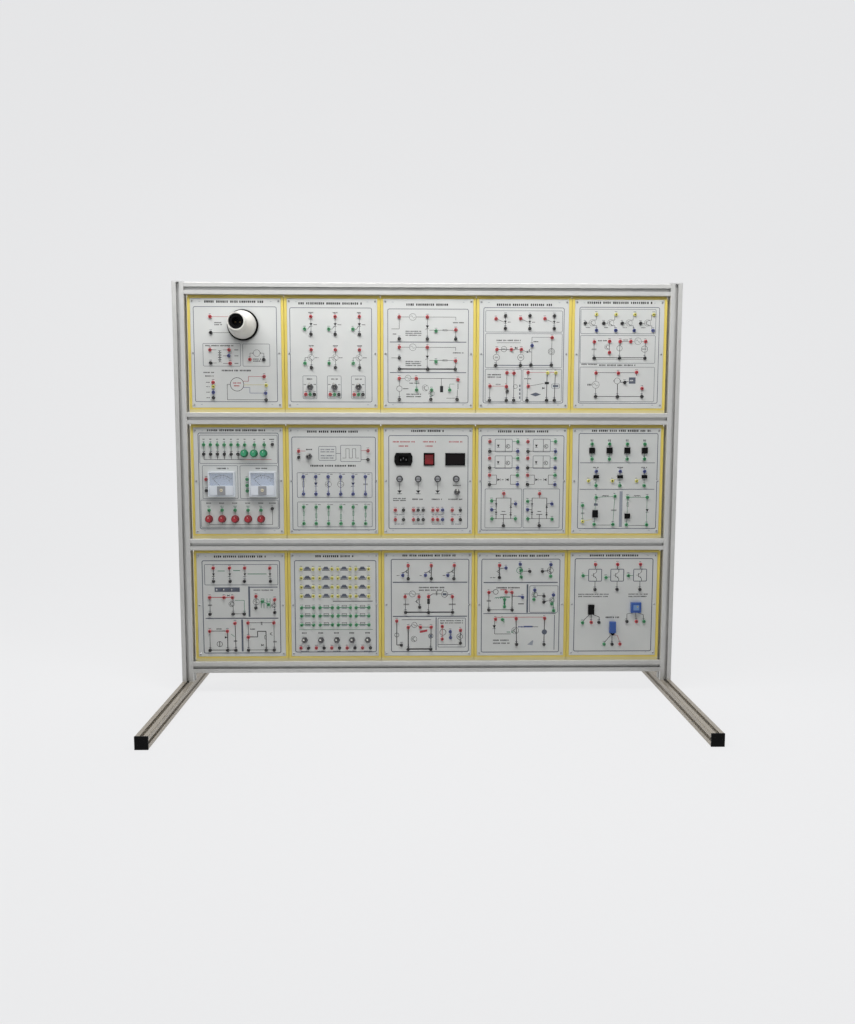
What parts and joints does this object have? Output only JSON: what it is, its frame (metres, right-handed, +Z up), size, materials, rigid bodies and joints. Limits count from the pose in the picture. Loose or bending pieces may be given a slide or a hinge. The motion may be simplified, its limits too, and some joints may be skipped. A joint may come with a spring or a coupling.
{
  "type": "power electronics trainer",
  "caption": "Free-standing bench of slotted aluminium profile holding three rows of teaching modules with 4 mm sockets, knobs, toggle switches, meters, a mains inlet and a lamp holder.",
  "frame": {"origin": "on the floor under the middle of the stand, midway between the posts and between the feet's ends", "axes": "+X to the viewer's right along the rails, the modules face -Y, +Z up"},
  "size_m": [1.29, 0.838, 1.061],
  "materials": {
    "anodised_profile": "natural anodised",
    "black_cap": "matte",
    "grey_cap": "matte",
    "zinc_steel": "zinc plated",
    "yellow_tray": "fine grained",
    "grey_plate": "smooth laminate with printed lines",
    "green_board": "solder mask",
    "red_plastic": "gloss",
    "black_plastic": "satin",
    "green_plastic": "gloss",
    "yellow_plastic": "gloss",
    "blue_plastic": "gloss",
    "white_plastic": "gloss",
    "white_dial": "matte white",
    "needle_metal": "blackened",
    "clear_window": "clear",
    "nickel_plated": "nickel plated",
    "brass_contact": "bright",
    "winding": "taped copper winding"
  },
  "bodies": {
    "stand": {"post_left": "anodised_profile", "post_right": "anodised_profile", "rail_top": "anodised_profile", "rail_upper_middle": "anodised_profile", "rail_lower_middle": "anodised_profile", "rail_bottom": "anodised_profile", "foot_left": "anodised_profile", "foot_right": "anodised_profile", "foot_end_caps": "black_cap", "post_top_caps": "grey_cap", "frame_bolts": "zinc_steel", "module_trays": "yellow_tray", "front_plates": "grey_plate", "plate_screws": "zinc_steel", "circuit_boards": "green_board", "red_sockets": "red_plastic", "black_sockets": "black_plastic", "green_sockets": "green_plastic", "yellow_sockets": "yellow_plastic", "blue_sockets": "blue_plastic", "potentiometer_bodies": "zinc_steel", "toggle_bodies": "nickel_plated", "fuse_holder_bodies": "black_plastic", "rocker_frame": "black_plastic", "meter_housings": "black_plastic", "meter_dials": "white_dial", "display_housing": "black_plastic", "instrument_windows": "clear_window", "mains_inlet": "black_plastic", "inlet_pins": "brass_contact", "lamp_holder_base": "black_plastic", "lamp_holder_plungers": "brass_contact", "lamp_holder_shell": "white_plastic", "panel_devices": "black_plastic", "supply_transformer": "winding"},
    "green_knob_1": {"green_knob_1": "green_plastic"},
    "green_knob_2": {"green_knob_2": "green_plastic"},
    "green_knob_3": {"green_knob_3": "green_plastic"},
    "red_knob_1": {"red_knob_1": "red_plastic"},
    "red_knob_2": {"red_knob_2": "red_plastic"},
    "red_knob_3": {"red_knob_3": "red_plastic"},
    "red_knob_4": {"red_knob_4": "red_plastic"},
    "red_knob_5": {"red_knob_5": "red_plastic"},
    "toggle_lever_1": {"toggle_lever_1": "nickel_plated"},
    "toggle_lever_2": {"toggle_lever_2": "nickel_plated"},
    "toggle_lever_3": {"toggle_lever_3": "nickel_plated"},
    "toggle_lever_4": {"toggle_lever_4": "nickel_plated"},
    "toggle_lever_5": {"toggle_lever_5": "nickel_plated"},
    "toggle_lever_6": {"toggle_lever_6": "nickel_plated"},
    "toggle_lever_7": {"toggle_lever_7": "nickel_plated"},
    "toggle_lever_8": {"toggle_lever_8": "nickel_plated"},
    "toggle_lever_9": {"toggle_lever_9": "nickel_plated"},
    "toggle_lever_10": {"toggle_lever_10": "nickel_plated"},
    "rocker_button": {"rocker_button": "red_plastic"},
    "fuse_cap_1": {"fuse_cap_1": "black_plastic"},
    "fuse_cap_2": {"fuse_cap_2": "black_plastic"},
    "fuse_cap_3": {"fuse_cap_3": "black_plastic"},
    "fuse_cap_4": {"fuse_cap_4": "black_plastic"},
    "meter_needle_left": {"meter_needle_left": "needle_metal"},
    "meter_needle_right": {"meter_needle_right": "needle_metal"}
  },
  "joints": [
    {"name": "green_knob_1_turn", "type": "hinge", "parent": "stand", "child": "green_knob_1", "pos_m": [-0.47242, -0.014, 0.62879], "axis": [0, 1, 0], "range_deg": [-140, 140]},
    {"name": "green_knob_2_turn", "type": "hinge", "parent": "stand", "child": "green_knob_2", "pos_m": [-0.44779, -0.014, 0.62879], "axis": [0, 1, 0], "range_deg": [-140, 140]},
    {"name": "green_knob_3_turn", "type": "hinge", "parent": "stand", "child": "green_knob_3", "pos_m": [-0.42316, -0.014, 0.62879], "axis": [0, 1, 0], "range_deg": [-140, 140]},
    {"name": "red_knob_1_turn", "type": "hinge", "parent": "stand", "child": "red_knob_1", "pos_m": [-0.56591, -0.014, 0.45929], "axis": [0, 1, 0], "range_deg": [-140, 140]},
    {"name": "red_knob_2_turn", "type": "hinge", "parent": "stand", "child": "red_knob_2", "pos_m": [-0.53243, -0.014, 0.45929], "axis": [0, 1, 0], "range_deg": [-140, 140]},
    {"name": "red_knob_3_turn", "type": "hinge", "parent": "stand", "child": "red_knob_3", "pos_m": [-0.49896, -0.014, 0.45929], "axis": [0, 1, 0], "range_deg": [-140, 140]},
    {"name": "red_knob_4_turn", "type": "hinge", "parent": "stand", "child": "red_knob_4", "pos_m": [-0.46548, -0.014, 0.45929], "axis": [0, 1, 0], "range_deg": [-140, 140]},
    {"name": "red_knob_5_turn", "type": "hinge", "parent": "stand", "child": "red_knob_5", "pos_m": [-0.43201, -0.014, 0.45929], "axis": [0, 1, 0], "range_deg": [-140, 140]},
    {"name": "toggle_1_throw", "type": "hinge", "parent": "stand", "child": "toggle_lever_1", "pos_m": [-0.3018, -0.01, 0.79825], "axis": [1, 0, 0], "range_deg": [0, 34]},
    {"name": "toggle_2_throw", "type": "hinge", "parent": "stand", "child": "toggle_lever_2", "pos_m": [-0.23948, -0.01, 0.79825], "axis": [1, 0, 0], "range_deg": [0, 34]},
    {"name": "toggle_3_throw", "type": "hinge", "parent": "stand", "child": "toggle_lever_3", "pos_m": [-0.17815, -0.01, 0.79825], "axis": [1, 0, 0], "range_deg": [0, 34]},
    {"name": "toggle_4_throw", "type": "hinge", "parent": "stand", "child": "toggle_lever_4", "pos_m": [-0.30683, -0.01, 0.62082], "axis": [1, 0, 0], "range_deg": [0, 34]},
    {"name": "toggle_5_throw", "type": "hinge", "parent": "stand", "child": "toggle_lever_5", "pos_m": [0.07489, -0.01, 0.52908], "axis": [1, 0, 0], "range_deg": [0, 34]},
    {"name": "toggle_6_throw", "type": "hinge", "parent": "stand", "child": "toggle_lever_6", "pos_m": [-0.32392, -0.01, 0.13828], "axis": [1, 0, 0], "range_deg": [0, 34]},
    {"name": "toggle_7_throw", "type": "hinge", "parent": "stand", "child": "toggle_lever_7", "pos_m": [-0.28069, -0.01, 0.13828], "axis": [1, 0, 0], "range_deg": [0, 34]},
    {"name": "toggle_8_throw", "type": "hinge", "parent": "stand", "child": "toggle_lever_8", "pos_m": [-0.23948, -0.01, 0.13828], "axis": [1, 0, 0], "range_deg": [0, 34]},
    {"name": "toggle_9_throw", "type": "hinge", "parent": "stand", "child": "toggle_lever_9", "pos_m": [-0.19926, -0.01, 0.13828], "axis": [1, 0, 0], "range_deg": [0, 34]},
    {"name": "toggle_10_throw", "type": "hinge", "parent": "stand", "child": "toggle_lever_10", "pos_m": [-0.15805, -0.01, 0.13828], "axis": [1, 0, 0], "range_deg": [0, 34]},
    {"name": "rocker_tilt", "type": "hinge", "parent": "stand", "child": "rocker_button", "pos_m": [0.00251, -0.003, 0.61384], "axis": [-1, 0, 0], "range_deg": [0, 16]},
    {"name": "fuse_cap_1_unlock", "type": "hinge", "parent": "stand", "child": "fuse_cap_1", "pos_m": [-0.07389, -0.01, 0.56298], "axis": [0, -1, 0], "range_deg": [0, 60]},
    {"name": "fuse_cap_2_unlock", "type": "hinge", "parent": "stand", "child": "fuse_cap_2", "pos_m": [-0.02564, -0.01, 0.56298], "axis": [0, -1, 0], "range_deg": [0, 60]},
    {"name": "fuse_cap_3_unlock", "type": "hinge", "parent": "stand", "child": "fuse_cap_3", "pos_m": [0.02463, -0.01, 0.56298], "axis": [0, -1, 0], "range_deg": [0, 60]},
    {"name": "fuse_cap_4_unlock", "type": "hinge", "parent": "stand", "child": "fuse_cap_4", "pos_m": [0.07288, -0.01, 0.56298], "axis": [0, -1, 0], "range_deg": [0, 60]},
    {"name": "meter_needle_left_swing", "type": "hinge", "parent": "stand", "child": "meter_needle_left", "pos_m": [-0.53073, -0.006, 0.54002], "axis": [0, 1, 0], "range_deg": [0, 90], "stiffness_Nm_per_rad": 0.0001, "springref_deg": -20.05},
    {"name": "meter_needle_right_swing", "type": "hinge", "parent": "stand", "child": "meter_needle_right", "pos_m": [-0.42567, -0.006, 0.54002], "axis": [0, 1, 0], "range_deg": [0, 90], "stiffness_Nm_per_rad": 0.0001, "springref_deg": -20.05}
  ]
}
